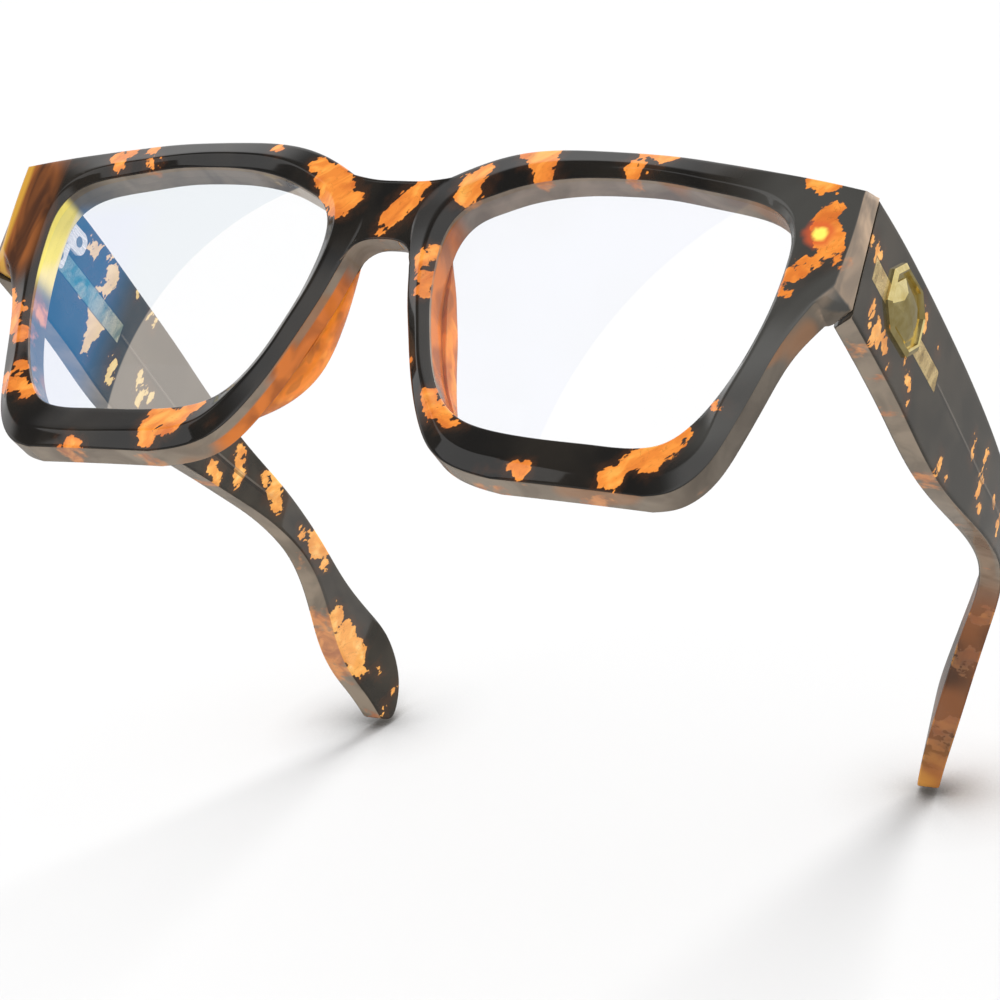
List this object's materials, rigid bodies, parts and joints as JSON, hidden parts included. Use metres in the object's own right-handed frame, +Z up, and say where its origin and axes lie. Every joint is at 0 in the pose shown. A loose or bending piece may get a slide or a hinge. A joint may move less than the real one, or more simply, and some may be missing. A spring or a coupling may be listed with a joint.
{
  "type": "blue light glasses",
  "caption": "Chunky squared full-rim glasses with faceted rims, thin clear lenses, built-in nose pads, folding temples and a small faceted plaque on each temple.",
  "frame": {"origin": "middle of the bridge, on the front surface, at the height of the lens centre line", "axes": "+X to the wearer's left, along the front; +Y backwards along the open temples; +Z up"},
  "size_m": [0.1554, 0.1456, 0.0557],
  "materials": {
    "acetate": "polished tortoiseshell acetate",
    "pad_acetate": "polished amber acetate",
    "lens": "clear with a faint blue filter coating",
    "hinge_metal": "plated",
    "screw_metal": "bright",
    "core_metal": "fine hatched",
    "gold": "polished pale gold, faceted"
  },
  "bodies": {
    "front": {"front_frame": "acetate", "lens_left": "lens", "lens_right": "lens", "nose_pad_left": "pad_acetate", "nose_pad_right": "pad_acetate", "front_hinge_left": "hinge_metal", "front_hinge_right": "hinge_metal", "front_hinge_screws_left": "screw_metal", "front_hinge_screws_right": "screw_metal", "hinge_screw_left": "screw_metal", "hinge_screw_right": "screw_metal"},
    "left_temple": {"temple_left": "acetate", "core_wire_left": "core_metal", "temple_ornament_left": "gold", "temple_hinge_left": "hinge_metal", "temple_hinge_screws_left": "screw_metal"},
    "right_temple": {"temple_right": "acetate", "core_wire_right": "core_metal", "temple_ornament_right": "gold", "temple_hinge_right": "hinge_metal", "temple_hinge_screws_right": "screw_metal"}
  },
  "joints": [
    {"name": "left_fold", "type": "hinge", "parent": "front", "child": "left_temple", "pos_m": [0.0685, 0.01315, 0.01605], "axis": [0, 0, 1], "range_deg": [0, 84]},
    {"name": "right_fold", "type": "hinge", "parent": "front", "child": "right_temple", "pos_m": [-0.0685, 0.01315, 0.01605], "axis": [0, 0, -1], "range_deg": [0, 75]}
  ]
}
